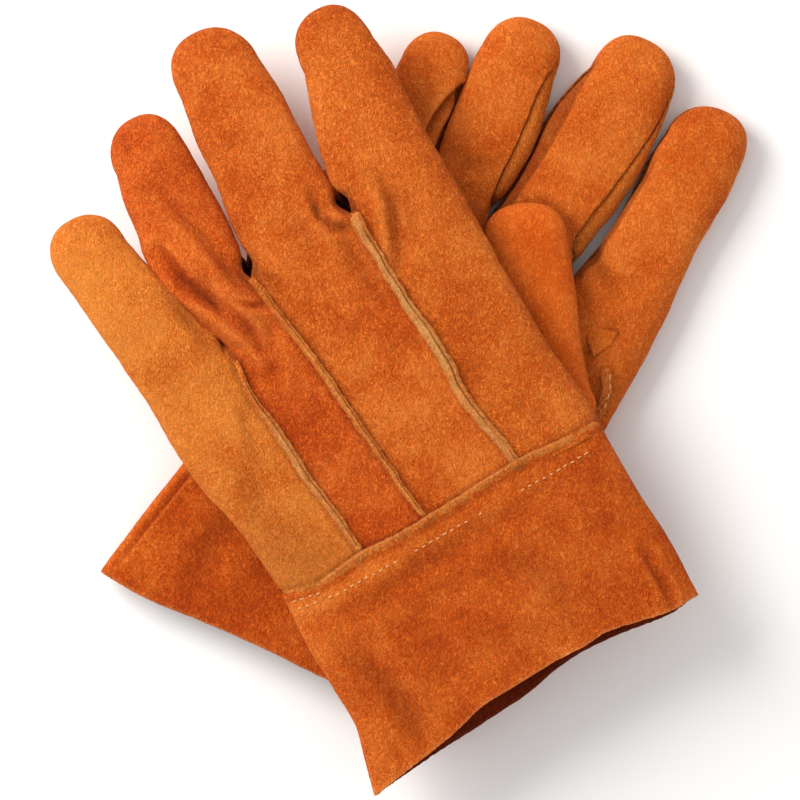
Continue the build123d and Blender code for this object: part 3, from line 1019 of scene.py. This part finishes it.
def outseam(hand, number, pair, finish):
    """Two cut edges standing side by side, with a slit between them."""
    glove = hand.glove
    border = glove.borders[number + 1]
    widths, heights, pales = SEAMS[pair]
    start, end = SEAM_START, glove.seam_tops[number]
    rows = int((end - start) / SEAM_ROW_STEP)
    up = glove.side == "left"
    tall = sizes().seam_height / MM if up else PRESSED_HEIGHT
    back = HALF_THICKNESS * 2
    base = back - SEAM_SUNK if up else PRESSED_BASE

    def place(row, angle):
        t = row / rows
        y = start + (end - start) * t
        closing = (1 - abs(2 * t - 1) ** 60) ** 0.5
        wander = 0.5 * noise.noise(Vector((y / 10, number * 7.0, 5)))
        wander += 0.22 * noise.noise(Vector((y / 3.0, number * 7.0, 9)))
        x0 = smooth_line(border, y) + wander
        grow = 0.95 + 0.3 * noise.noise(Vector((y / 7, number, 1)))
        grow += 0.14 * noise.noise(Vector((y / 1.6, number, 6)))
        width = smooth_line(widths, y) * (1 + 0.24 * noise.noise(Vector((y / 5, number, 2))))
        width *= 1 + 0.16 * noise.noise(Vector((y / 1.6, number, 3)))
        turn = angle / (2 * math.pi)
        on_top = TOP_SHARE < turn < 1 - TOP_SHARE
        if on_top:
            spread = (turn - 0.5) / (0.5 - TOP_SHARE)
        else:
            spread = -turn / TOP_SHARE if turn < 0.5 else (1 - turn) / TOP_SHARE
        side_x = spread * width / 2
        height = tall * smooth_line(heights, y) * grow
        top = math.sqrt(max(0.0, 1 - abs(spread) ** 5)) if on_top else 0.0
        rise = top * height
        wander_slit = 0.14 + 0.12 * noise.noise(Vector((y / 12, number, 12)))
        open_slit = (0.7 + 0.5 * noise.noise(Vector((y / 30, number, 14)))) * ease(start, start + 6, y)
        open_slit *= 1 - ease(end - 12, end - 4, y)
        slit = bump(spread - wander_slit, 0.12) * 0.7 * open_slit * top
        fibre = 0.16 * noise.noise(Vector((x0 + side_x, y / 0.7, 4)) * 1.9)
        edge_drop = 0.5 * max(0.0, spread) ** 3
        if not up:
            z = base - rise
        elif not on_top:
            z = base
        else:
            z = back - 1.0 + rise + (fibre - slit - edge_drop) * top
        pale = smooth_line(pales, y) * ease(0.5, 0.95, top)
        pale *= 1.25 + 1.1 * noise.noise(Vector((y / 6, spread * 2.5, 8)))
        pale *= 1 - 0.6 * ease(wander_slit - 0.05, wander_slit + 0.2, spread)
        pale += 0.3 * bump(spread - 0.75, 0.16) * smooth_line(pales, y) * top
        # Painted shade in the slit between the two edges and painted shadow along the seam's right side.
        shade = 1.2 * bump(spread - wander_slit, 0.12) * open_slit * top + 0.6 * ease(0.86, 1.0, spread)
        x = x0 + (side_x + 0.25 * rise) * closing
        return hand.place(x, y, base + (z - base) * closing), max(0.0, min(pale, 1.0)), shade

    bm = tube_mesh(rows, 40, place)
    return finish_object(f"{glove.side}_outseam_{pair}", bm, finish)


class GLOVES_OT_cuffs(bpy.types.Operator):
    """The two layers of each cuff and the raised raw edge along its seam"""

    bl_idname = "gloves.cuffs"
    bl_label = "Cuffs"

    def execute(self, context):
        finishes = Workshop.finishes
        for side, hand in Workshop.hands.items():
            back_up = side == "left"
            tone = -0.09 if back_up else -0.26
            for upper in (True, False):
                layer = "back" if upper == back_up else "palm"
                finish = finishes.suede(
                    f"{side}_cuff_{layer}_suede", tone, 1.1, 0.85, shift=4.1 + upper, warm=0.93
                )
                obj = cuff_layer(hand, upper, finish)
                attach(obj, f"{side}_hand")
                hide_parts(f"{side}_cuff_{layer}")
            finish = finishes.suede(f"{side}_cuff_edge_suede", 0.2, 1.2, 1.2, shift=5.5)
            obj = cuff_edge(hand, finish)
            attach(obj, f"{side}_hand")
            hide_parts(f"{side}_cuff_edge")
        return {"FINISHED"}


# The raw edge of the cuff across the hand, as (X, Y) points, and the folds of each cuff
CUFF_EDGE_LINE = [
    (-66, 2.4), (-53, -0.2), (-34, 1.6), (-16, 1.2), (3, 2.3), (20, 3.6), (36, 4.2), (52, 3.2), (66, 3.2),
]
CUFF_FOLDS = {
    "left": [
        ([(58, -44), (59, -55), (59, -63), (58, -72)], 2.0, 1.5, 0.6, 0.9),
        ([(-56, -30), (-50, -44), (-47, -60), (-50, -72)], 6.5, 1.5, 0.6, 0.3),
        ([(-58, -12), (-40, -15), (-14, -12), (12, -12), (40, -10)], 4.5, 0.9, 0.4, 0.5),
        ([(12, -24), (22, -38), (26, -54)], 9.0, 0.9, 0.3, 0.4),
    ],
    "right": [
        ([(-64, -10), (-67, -24), (-71.5, -42), (-76, -62)], 1.3, 2.0, 0.6, 0.6),
        ([(-40, -20), (-48, -38), (-50, -58)], 7.0, 1.2, 0.5, 0.4),
    ],
}


CUFF_SQUARENESS = 3.4   # of the cuff's section
CUFF_HALF = 66          # X of a side of the cuff at its seam
MOUTH_HALF = 70         # and at its mouth
CUFF_LEVEL = 0.9        # how far the cuff lies outside the hand at its seam


def cuff_height(glove, y):
    """Height of the middle of the cuff's thickness."""
    return HALF_THICKNESS + min(0.0, y) * math.tan(math.radians(glove.cuff_droop))


def cuff_angle(x):
    """Angle round the cuff of a spot this far across the hand."""
    return math.copysign(math.asin(min(0.999, abs(x / 66.8) ** 1.7)), x)


def cuff_point(glove, upper, angle, t, ragged=0.0):
    """Spot of a cuff layer at an angle round the cuff and a share of its length, with how far
    it is from its seam and its mouth and how deep it is creased."""
    mouth = glove.mouth_upper if upper else glove.mouth_lower
    sign = 1 if upper else -1
    round_x, round_z = rounded_section(angle, CUFF_SQUARENESS)
    top = smooth_line(CUFF_EDGE_LINE, round_x * CUFF_HALF)
    end = smooth_line(mouth, round_x * MOUTH_HALF) + ragged
    y = top + (end - top) * t
    left = smooth_line([(-a, b) for a, b in glove.cuff_little], -y)
    right = smooth_line([(-a, b) for a, b in glove.cuff_index], -y)
    centre, half = (left + right) / 2, (right - left) / 2
    spread = ease(0.0, 1.0, t)
    x = centre + (half + 0.5) * round_x
    z = cuff_height(glove, y) + sign * (HALF_THICKNESS + CUFF_LEVEL - 0.4 * t) * round_z
    lift = hide_ripple(Vector((x, y, 300.0 + 90 * upper)), 1.0) * (0.45 + 0.75 * spread)
    lift += 1.4 * spread * math.sin(x / 17.0 + (1.2 if upper else 2.6)) * (1 - abs(round_x) ** 6)
    lift += 0.7 * bump(y - top + 1.0, 2.2)
    crease = 0.0
    if upper:
        for fold in CUFF_FOLDS[glove.side]:
            crease += fold_height(*fold, x, y)
    lift += crease
    x += lift * 0.5 * math.sin(angle)
    z += sign * lift * max(0.0, math.cos(angle))
    z = max(z, 0.5) if glove.side == "right" else z
    return (x, y, z), t * (top - end), (1 - t) * (top - end), crease


def cuff_layer(hand, upper, finish):
    """One layer of the cuff, rounded round its two sides, with a wavy mouth."""
    glove = hand.glove
    rows, columns = 84, 140

    def place(row, v):
        angle = math.radians(93 if upper else 87) * v
        ragged = 0.3 * noise.noise(Vector((v * 40, 0, 7.0 * upper)))
        ragged += 0.15 * noise.noise(Vector((v * 150, 1, 3)))
        spot, seam_gap, mouth_gap, crease = cuff_point(glove, upper, angle, row / rows, ragged)
        raw = 0.4 * bump(mouth_gap, 0.7)
        # Painted shade in the cuff's creases and painted highlight on their rolls, and painted shade in a
        # line below the raised edge.
        shade = 0.35 * max(0.0, -crease) - 0.25 * max(0.0, crease)
        shade += 0.3 * bump(seam_gap - 2.6, 1.0) * upper
        if upper and glove.side == "left":
            shade -= 0.55 * bump(seam_gap - 6.5, 4.5) * ease(10, 50, -spot[0])
        return hand.place(*spot), raw, max(-0.5, min(1.0, shade))

    bm = sheet_mesh(rows, columns, place, up=upper)
    layer = "upper" if upper else "under"
    inside = Workshop.finishes.inside()
    return finish_object(f"{glove.side}_cuff_{layer}_leather", bm, finish, sizes().leather, inside)


def cuff_edge(hand, finish):
    """The raw edge of the cuff, rolled up where it laps the hand."""
    glove = hand.glove
    rows = 210
    lumps = [border[0][1] for border in glove.borders[1:4]]

    def place(row, angle):
        t = row / rows
        x = -65.6 + 131.4 * t
        closing = (1 - abs(2 * t - 1) ** 40) ** 0.5
        wander = 0.3 * noise.noise(Vector((x / 6, 2, 3))) + 0.3 * noise.noise(Vector((x / 1.8, 4, 3)))
        y0 = smooth_line(CUFF_EDGE_LINE, x) + wander
        lump = sum(bump(x - spot, 3.2) for spot in lumps)
        grow = 0.8 + 0.55 * noise.noise(Vector((x / 5, 6, 3))) + 0.4 * noise.noise(Vector((x / 1.5, 8, 3)))
        grow *= 1 - 0.55 * ease(46, 60, x) - 0.35 * ease(36, 60, -x)
        top = cuff_point(glove, True, cuff_angle(x), 0.0)[0][2] - 0.55
        s, c = math.sin(angle), math.cos(angle)
        reach = 1.25 + 0.35 * lump if s > 0 else 2.6
        y = y0 + reach * math.copysign(abs(s) ** 0.8, s) * closing
        fibre = 0.2 * noise.noise(Vector((x * 1.4, y * 1.4, 2)))
        hump = 1 - abs(s) ** (4 if s > 0 else 1.3)
        rise = (1.5 + 0.9 * lump) * grow * hump if c < 0 else -0.6 * hump
        z = top + (rise + fibre * (c < 0)) * closing
        raw = (0.04 + 0.42 * bump(s - 0.6, 0.35)) * (c < 0)
        # Painted shade along the side of the raised edge that faces the hand.
        shade = 0.5 * ease(0.8, 1.0, s)
        return hand.place(x, y, z), raw, shade

    bm = tube_mesh(rows, 24, place)
    return finish_object(f"{glove.side}_cuff_raw_edge", bm, finish)


class GLOVES_OT_stitching(bpy.types.Operator):
    """The stitches of each cuff"""

    bl_idname = "gloves.stitching"
    bl_label = "Cuff stitching"

    def execute(self, context):
        for side, hand in Workshop.hands.items():
            finish = Workshop.finishes.cotton("cotton_thread")
            obj = stitch_row(hand, finish)
            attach(obj, f"{side}_hand")
            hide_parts(f"{side}_cuff_stitching")
        return {"FINISHED"}


# The row of stitches across the cuff, as (X, Y) points
STITCH_LINE = [
    (-65, -4.6), (-52, -6.6), (-38, -6.8), (-13, -6.4), (12, -5.8), (33, -5.4), (50, -5.0), (64, -4.6),
]
STITCH_ROWS = [(-63.0, 62.0, 0.0), (-63.5, -50.0, 3.0)]   # from X, to X, and distance from that line
SKIPPED = (14, 27)      # X of the stretch where no stitch shows
LOST_SHARE = 0.1        # of the other stitches that is worn away


def add_stitch(bm, put, spot, direction, long, thick):
    """A bent capsule at a spot of a surface, with its ends pressed in."""
    made = bmesh.ops.create_uvsphere(bm, u_segments=8, v_segments=6, radius=0.5)["verts"]
    for vert in made:
        a, b, c = vert.co
        dip = 0.5 * thick * (2 * a) ** 2
        x = spot[0] + a * long * direction[0] - b * thick * direction[1]
        y = spot[1] + a * long * direction[1] + b * thick * direction[0]
        vert.co = put(x, y, spot[2] + c * thick * 0.8 - dip)


def stitch_row(hand, finish):
    """The lockstitch rows that hold the cuff to the hand."""
    glove = hand.glove
    random.seed(bpy.context.scene.glove_stage.seed)
    bm = bmesh.new()
    pitch = sizes().stitch_pitch / MM
    length = sizes().stitch_length / MM
    thick = sizes().thread / MM
    back_up = glove.side == "left"
    for start, end, offset in STITCH_ROWS:
        x = start
        while x < end:
            keep = random.random() > LOST_SHARE and not SKIPPED[0] < x < SKIPPED[1]
            y = smooth_line(STITCH_LINE, x) + offset + random.uniform(-0.15, 0.15)
            slope = (smooth_line(STITCH_LINE, x + 1) - smooth_line(STITCH_LINE, x - 1)) / 2
            slope += random.uniform(-0.1, 0.12)
            long = length * random.uniform(0.75, 1.15)
            if keep:
                top = smooth_line(CUFF_EDGE_LINE, x)
                share = (top - y) / (top - smooth_line(glove.mouth_upper, x))
                spot = cuff_point(glove, True, cuff_angle(x), share)[0]
                add_stitch(bm, hand.place, (spot[0], y, spot[2] + 0.12), (1.0, slope), long, thick)
            x += pitch
    name = "back" if back_up else "palm"
    return finish_object(f"{glove.side}_cuff_{name}_stitches", bm, finish)


class GLOVES_OT_thumbs(bpy.types.Operator):
    """The thumb of each glove, with its base seam and crotch patch"""

    bl_idname = "gloves.thumbs"
    bl_label = "Thumbs"

    def execute(self, context):
        for side, hand in Workshop.hands.items():
            finish = Workshop.finishes.suede(f"{side}_thumb_suede", 0.03, 0.6, 0.55, shift=6.6, warm=0.94)
            for upper in (True, False):
                obj = thumb_layer(hand, upper, finish)
                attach(obj, f"{side}_thumb")
                palm_side = upper == (side == "left")
                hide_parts(f"{side}_thumb_inner" if palm_side else f"{side}_thumb_outer")
            finish = Workshop.finishes.suede(f"{side}_thumb_seam_suede", 0.0, 0.9, 1.0, 7.7, 1.05)
            seam = thumb_seam(hand, finish)
            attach(seam, f"{side}_thumb")
            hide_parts(f"{side}_thumb_seam")
            if side == "right":
                thread = thumb_stitches(hand, Workshop.finishes.cotton("cotton_thread"))
                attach(thread, f"{side}_thumb")
            finish = Workshop.finishes.suede(f"{side}_patch_suede", 0.08, 0.6, 0.7, 8.8, 1.06)
            patch = crotch_patch(hand, finish)
            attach(patch, f"{side}_hand")
            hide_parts(f"{side}_thumb_patch")
        return {"FINISHED"}


# The two sides of the thumb in its own millimetres, from its base: (Y, X) points
THUMB_LEFT = [(-18.5, -7), (-12, -13.5), (0, -15.5), (20, -15), (40, -14.6), (54, -14.4)]
THUMB_RIGHT = [(-18.5, 10), (-12, 15.0), (-4, 13.9), (11, 13.6), (30, 15.0), (46, 15.3), (54, 15.9)]
THUMB_FOOT = -18.5              # Y of the foot of the thumb
THUMB_TOP = 54.0                # Y where its round tip starts
THUMB_TIP = (-0.5, 67.3)
THUMB_HALF_THICKNESS = 6.9
THUMB_MIDDLE = 7.0              # height of the middle of its thickness
THUMB_CEILING = 13.95           # it stays under this height in its layer
THUMB_ROWS, TIP_ROWS = 84, 22


def thumb_place(hand):
    """Gives a function from the thumb's own millimetres to the shared frame."""
    joint = hand.joints[f"{hand.glove.side}_thumb_swing"]
    base = Vector(joint["pos_m"])
    turn = math.radians(hand.glove.thumb_lean)
    along = hand.along * math.cos(turn) - hand.across * math.sin(turn)
    across = Vector((along.y, -along.x, 0))
    level = hand.origin.z + hand.glove.thumb_level * MM

    def place(x, y, z):
        spot = base + (across * x + along * y) * MM
        spot.z = level + z * MM
        return spot

    return place


def thumb_layer(hand, upper, finish):
    """Half of the thumb's sack, from its base to its tip."""
    glove = hand.glove
    put = thumb_place(hand)
    levels = []
    for number in range(THUMB_ROWS):
        share = 1 - math.cos(number / THUMB_ROWS * math.pi / 2)
        levels.append(THUMB_FOOT + (THUMB_TOP - THUMB_FOOT) * share)
    levels.append(THUMB_TOP)
    sign = 1 if upper else -1
    floor = 1.0 if glove.side == "right" else 0.05

    def place(row, v):
        tip_angle = max(0, row - THUMB_ROWS) / TIP_ROWS * math.pi / 2
        y0 = levels[min(row, THUMB_ROWS)]
        left, right = smooth_line(THUMB_LEFT, y0), smooth_line(THUMB_RIGHT, y0)
        y = y0 + (THUMB_TIP[1] - THUMB_TOP) * math.sin(tip_angle)
        base = min(1.0, max(0.0, (y0 - THUMB_FOOT) / 9.0))
        closed = math.sqrt(max(0.0, 1 - (1 - base) ** 2))
        centre, half = (left + right) / 2, (right - left) / 2
        centre += (THUMB_TIP[0] - centre) * math.sin(tip_angle) ** 2
        shrink = tip_shrink(tip_angle)
        half *= shrink
        height = THUMB_HALF_THICKNESS * shrink * closed
        angle = math.radians(90) * v
        round_x, round_z = rounded_section(angle, SECTION_POWER)
        x = centre + half * round_x
        gap = (1 - abs(v)) * half * 1.3
        lift = hide_ripple(Vector((x, y, 500 + 60 * upper)), 0.55) - 0.6 * bump(gap, 0.8)
        rise = height * abs(round_z) + lift * math.cos(angle) * shrink * closed
        z = THUMB_MIDDLE + sign * rise
        x += lift * math.sin(angle) * shrink
        z = min(max(z, floor), THUMB_CEILING)
        # Painted shade along the thumb's rounded sides.
        return put(x, y, z), 0.0, 0.5 * bump(gap, 0.8)

    bm = sheet_mesh(THUMB_ROWS + TIP_ROWS, 44, place, up=upper)
    layer = "upper" if upper else "under"
    inside = Workshop.finishes.inside()
    return finish_object(f"{glove.side}_thumb_{layer}_leather", bm, finish, sizes().leather, inside)


def thumb_seam(hand, finish):
    """The flat lap seam round the thumb's base, on the index-finger side."""
    glove = hand.glove
    put = thumb_place(hand)
    rows = 64
    lean = glove.thumb_lean
    up = glove.side == "right"

    def place(row, angle):
        t = row / rows
        closing = (1 - abs(2 * t - 1) ** 24) ** 0.5
        around = math.radians(-36 + 76 * t - lean)
        radius = 20.7 + 1.6 * (1 - t) ** 2 + 0.25 * noise.noise(Vector((t * 9, 1, 2)))
        width = 1.9 * (1 + 0.12 * noise.noise(Vector((t * 14, 3, 2))))
        s, c = math.sin(angle), math.cos(angle)
        r = radius + width * math.copysign(abs(s) ** 0.5, s) * closing
        rise = 0.9 * math.copysign(abs(c) ** 0.5, -c) * closing
        rise += 0.1 * noise.noise(Vector((r * 2, t * 60, 5)))
        z = 0.9 + rise if up else 13.1 + rise
        raw = 0.3 * bump(s + 0.9, 0.4) + 0.12
        return put(r * math.cos(around), r * math.sin(around), z), raw, 0.75 * bump(s + 1.0, 0.25)

    bm = tube_mesh(rows, 20, place)
    return finish_object(f"{glove.side}_thumb_base_seam", bm, finish)


def thumb_stitches(hand, finish):
    """A few stitches that show along the outside of the thumb's base seam."""
    put = thumb_place(hand)
    bm = bmesh.new()
    for step in range(4):
        around = math.radians(30 - 9.5 * step - hand.glove.thumb_lean)
        radius = 22.0
        spot = (radius * math.cos(around), radius * math.sin(around), 1.95)
        direction = (-math.sin(around), math.cos(around))
        add_stitch(bm, put, spot, direction, sizes().stitch_length / MM * 1.2, sizes().thread / MM)
    return finish_object("right_thumb_stitches", bm, finish)


# Corners of the crotch patch, measured from the thumb's hinge
PATCH = [(-0.5, 25.2), (14.8, 27.4), (15.0, 22.4), (10.4, 14.6)]
PATCH_STEPS = 24
PATCH_SPAN = 13         # millimetres across it, for the width of its rim


def crotch_patch(hand, finish):
    """The small stitched patch beside the thumb, let into the palm."""
    glove = hand.glove
    joint = hand.joints[f"{glove.side}_thumb_swing"]
    base = Vector(joint["pos_m"])
    up = glove.side == "right"
    level = hand.origin.z + (HALF_THICKNESS * 2 if up else 0.0) * MM
    corners = [Vector(corner) for corner in PATCH]

    def place(row, v):
        s, t = (v + 1) / 2, row / PATCH_STEPS
        low = corners[3].lerp(corners[2], s)
        high = corners[0].lerp(corners[1], s)
        flat = low.lerp(high, t)
        rim = min(s, 1 - s, t, 1 - t) * PATCH_SPAN
        spot = base + (hand.across * flat.x + hand.along * flat.y) * MM
        lift = 0.8 - 0.55 * bump(rim, 0.8) + 0.1 * noise.noise(Vector((flat.x / 2, flat.y / 2, 1)))
        spot.z = level + (lift if up else -lift * 0.3) * MM
        dashes = 0.75 + 0.25 * math.sin(12 * (s + t) * 3)
        return spot, 0.0, dashes * bump(rim, 0.75)

    bm = sheet_mesh(PATCH_STEPS, PATCH_STEPS, place, up=up)
    return finish_object(f"{glove.side}_crotch_patch", bm, finish, sizes().leather * 0.7)


KEY_PLACE = (-0.85, 0.6, 0.85)
VIEW_WIDTH = 0.296      # metres across the picture at the height of the gloves
VIEW_CENTRE = (-0.0013, 0.0006, 0.03)


class GLOVES_OT_stage(bpy.types.Operator):
    """Floor, lights and camera"""

    bl_idname = "gloves.stage"
    bl_label = "Stage"

    def execute(self, context):
        stage = context.scene.glove_stage
        bm = bmesh.new()
        bmesh.ops.create_grid(bm, x_segments=2, y_segments=2, size=3.0)
        material = bpy.data.materials.new("pale_floor")
        material.use_nodes = True
        shader = material.node_tree.nodes["Principled BSDF"]
        shader.inputs["Base Color"].default_value = (*stage.floor, 1)
        shader.inputs["Roughness"].default_value = 0.9
        floor = finish_object("floor", bm, material)

        key = bpy.data.lights.new("key", "AREA")
        key.energy = stage.key_power
        key.size = 0.8
        key.color = (1.0, 0.97, 0.93)
        lamp = bpy.data.objects.new("key", key)
        lamp.location = KEY_PLACE
        lamp.rotation_euler = (-lamp.location).to_track_quat("-Z", "Y").to_euler()
        context.scene.collection.objects.link(lamp)

        world = bpy.data.worlds.new("studio")
        world.use_nodes = True
        world.node_tree.nodes["Background"].inputs["Color"].default_value = (1.0, 0.985, 0.97, 1)
        world.node_tree.nodes["Background"].inputs["Strength"].default_value = stage.fill
        context.scene.world = world
        context.scene.view_settings.view_transform = "Standard"

        camera = bpy.data.cameras.new("camera")
        camera.lens = 350
        distance = camera.lens / camera.sensor_width * VIEW_WIDTH
        eye = bpy.data.objects.new("camera", camera)
        x, y, height = VIEW_CENTRE
        eye.location = (x, y, distance + height)
        eye.rotation_euler = (0, 0, 0)
        context.scene.collection.objects.link(eye)
        context.scene.camera = eye
        return {"FINISHED"}


class GLOVES_PT_panel(bpy.types.Panel):
    """Lists the pieces of the pair of gloves"""

    bl_label = "Welding gloves"
    bl_idname = "GLOVES_PT_panel"
    bl_space_type = "VIEW_3D"
    bl_region_type = "UI"
    bl_category = "Gloves"

    def draw(self, context):
        layout = self.layout
        for settings in ("glove_sizes", "glove_colours", "glove_stage"):
            group = getattr(context.scene, settings)
            box = layout.box()
            for name in group.bl_rna.properties.keys():
                if name not in ("rna_type", "name"):
                    box.prop(group, name)
        for operator in OPERATORS:
            layout.operator(operator.bl_idname)


SETTINGS = (GloveSizes, SuedeColours, StageSettings)
OPERATORS = (
    GLOVES_OT_back_panels,
    GLOVES_OT_palm_fronts,
    GLOVES_OT_outseams,
    GLOVES_OT_cuffs,
    GLOVES_OT_stitching,
    GLOVES_OT_thumbs,
    GLOVES_OT_stage,
)


def register():
    for cls in (*SETTINGS, *OPERATORS, GLOVES_PT_panel):
        bpy.utils.register_class(cls)
    bpy.types.Scene.glove_sizes = PointerProperty(type=GloveSizes)
    bpy.types.Scene.glove_colours = PointerProperty(type=SuedeColours)
    bpy.types.Scene.glove_stage = PointerProperty(type=StageSettings)


def unregister():
    del bpy.types.Scene.glove_sizes
    del bpy.types.Scene.glove_colours
    del bpy.types.Scene.glove_stage
    for cls in reversed((*SETTINGS, *OPERATORS, GLOVES_PT_panel)):
        bpy.utils.unregister_class(cls)


def main():
    register()
    Workshop.open()
    for operator in OPERATORS:
        group, name = operator.bl_idname.split(".")
        getattr(getattr(bpy.ops, group), name)()


if __name__ == "__main__":
    main()
